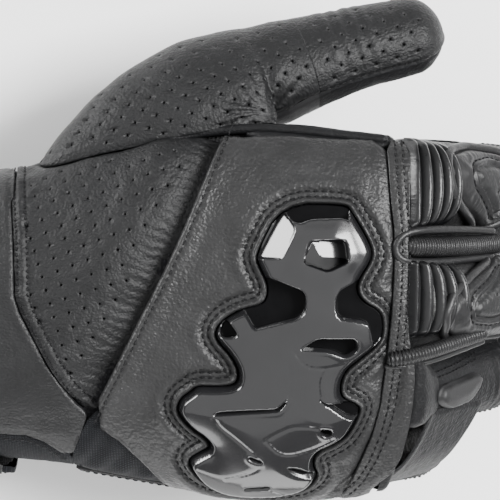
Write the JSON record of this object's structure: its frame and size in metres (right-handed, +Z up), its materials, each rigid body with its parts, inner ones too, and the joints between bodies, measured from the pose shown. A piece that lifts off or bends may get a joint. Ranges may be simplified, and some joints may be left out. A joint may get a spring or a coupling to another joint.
{
  "type": "riding glove",
  "caption": "Short right-hand motorcycle riding glove with a hard knuckle guard, perforated thumb, ribbed stretch panels, bending fingers and a wrist strap.",
  "frame": {"origin": "on the surface the glove lies on, under the middle of its box, when it rests palm down on its fingertips and cuff", "axes": "+X towards the fingertips, +Y towards the thumb, +Z up, out of the back of the hand"},
  "size_m": [0.1975, 0.133, 0.0898],
  "materials": {
    "leather": "satin goat leather, fine grain",
    "perforated_leather": "satin goat leather with small punched holes",
    "stretch_textile": "matt woven stretch textile",
    "guard_plastic": "high gloss",
    "slider_plastic": "satin",
    "moulded_rubber": "matt",
    "foam": "closed cell foam, matt",
    "lining": "soft knit",
    "hook_and_loop": "hook and loop tape"
  },
  "bodies": {
    "hand": {"dorsal_panel": "leather", "dorsal_textile": "stretch_textile", "thumb_base_panel": "perforated_leather", "cuff_back": "leather", "cuff_palm": "leather", "cuff_binding": "stretch_textile", "palm_panel": "leather", "ulnar_side_panel": "leather", "index_side_panel": "leather", "palm_reinforcement": "leather", "palm_slider": "slider_plastic", "wrist_elastic": "stretch_textile", "hand_lining": "lining", "knuckle_guard": "guard_plastic", "guard_foam": "foam", "thumb_root_back": "perforated_leather", "thumb_root_palm": "leather", "thumb_root_textile": "stretch_textile", "thumb_base_crease": "leather", "index_middle_gusset": "leather", "middle_ring_gusset": "leather", "strap_loop_patch": "hook_and_loop", "index_accordion": "leather", "middle_accordion": "leather", "ring_accordion": "leather", "little_accordion": "leather"},
    "index": {"index_back": "leather", "index_palm": "leather", "index_crease": "leather", "index_pad": "perforated_leather"},
    "index_tip": {"index_tip_back": "leather", "index_tip_palm": "leather"},
    "middle": {"middle_back": "leather", "middle_palm": "leather", "middle_crease": "leather", "middle_pad": "perforated_leather"},
    "middle_tip": {"middle_tip_back": "leather", "middle_tip_palm": "leather"},
    "ring": {"ring_back": "leather", "ring_palm": "leather", "ring_crease": "leather", "ring_pad": "moulded_rubber"},
    "ring_tip": {"ring_tip_back": "leather", "ring_tip_palm": "leather"},
    "little": {"little_back": "leather", "little_palm": "leather", "little_crease": "leather"},
    "little_tip": {"little_tip_back": "leather", "little_tip_palm": "leather"},
    "thumb": {"thumb_back": "perforated_leather", "thumb_palm": "leather", "thumb_crease": "leather"},
    "thumb_tip": {"thumb_tip_back": "perforated_leather", "thumb_tip_palm": "leather"},
    "strap": {"wrist_strap": "stretch_textile", "strap_hook_patch": "hook_and_loop", "strap_tab": "moulded_rubber"}
  },
  "joints": [
    {"name": "index_knuckle", "type": "hinge", "parent": "hand", "child": "index", "pos_m": [0.0363, 0.0163, 0.07077], "axis": [-0.0363, 0.9976, -0.0595], "range_deg": [-40, 25], "deforming": ["index_accordion"]},
    {"name": "index_middle_joint", "type": "hinge", "parent": "index", "child": "index_tip", "pos_m": [0.07227, 0.01622, 0.04742], "axis": [-0.0363, 0.9976, -0.0595], "range_deg": [-32, 35], "deforming": ["index_crease"]},
    {"name": "middle_knuckle", "type": "hinge", "parent": "hand", "child": "middle", "pos_m": [0.0384, -0.0133, 0.07406], "axis": [-0.0495, 0.9987, 0.0113], "range_deg": [-40, 25], "deforming": ["middle_accordion"]},
    {"name": "middle_middle_joint", "type": "hinge", "parent": "middle", "child": "middle_tip", "pos_m": [0.07732, -0.0111, 0.04985], "axis": [-0.0495, 0.9987, 0.0113], "range_deg": [-32, 35], "deforming": ["middle_crease"]},
    {"name": "ring_knuckle", "type": "hinge", "parent": "hand", "child": "ring", "pos_m": [0.03491, -0.038, 0.06791], "axis": [-0.0519, 0.9935, 0.1014], "range_deg": [-40, 25], "deforming": ["ring_accordion"]},
    {"name": "ring_middle_joint", "type": "hinge", "parent": "ring", "child": "ring_tip", "pos_m": [0.06691, -0.03394, 0.04442], "axis": [-0.0519, 0.9935, 0.1014], "range_deg": [-32, 35], "deforming": ["ring_crease"]},
    {"name": "little_knuckle", "type": "hinge", "parent": "hand", "child": "little", "pos_m": [0.02674, -0.0556, 0.05628], "axis": [-0.0015, 0.9886, 0.1507], "range_deg": [-40, 25], "deforming": ["little_accordion"]},
    {"name": "little_middle_joint", "type": "hinge", "parent": "little", "child": "little_tip", "pos_m": [0.04972, -0.05268, 0.03732], "axis": [-0.0015, 0.9886, 0.1507], "range_deg": [-32, 35], "deforming": ["little_crease"]},
    {"name": "thumb_knuckle", "type": "hinge", "parent": "hand", "child": "thumb", "pos_m": [0.00654, 0.04619, 0.04678], "axis": [-0.1917, 0.8026, -0.5649], "range_deg": [-12, 25], "deforming": ["thumb_base_crease"]},
    {"name": "thumb_joint", "type": "hinge", "parent": "thumb", "child": "thumb_tip", "pos_m": [0.02649, 0.05242, 0.04886], "axis": [-0.1917, 0.8026, -0.5649], "range_deg": [-7, 40], "deforming": ["thumb_crease"]},
    {"name": "strap_hinge", "type": "hinge", "parent": "hand", "child": "strap", "pos_m": [-0.06418, -0.03308, 0.00738], "axis": [0.9632, 0, 0.2689], "range_deg": [0, 110]}
  ]
}
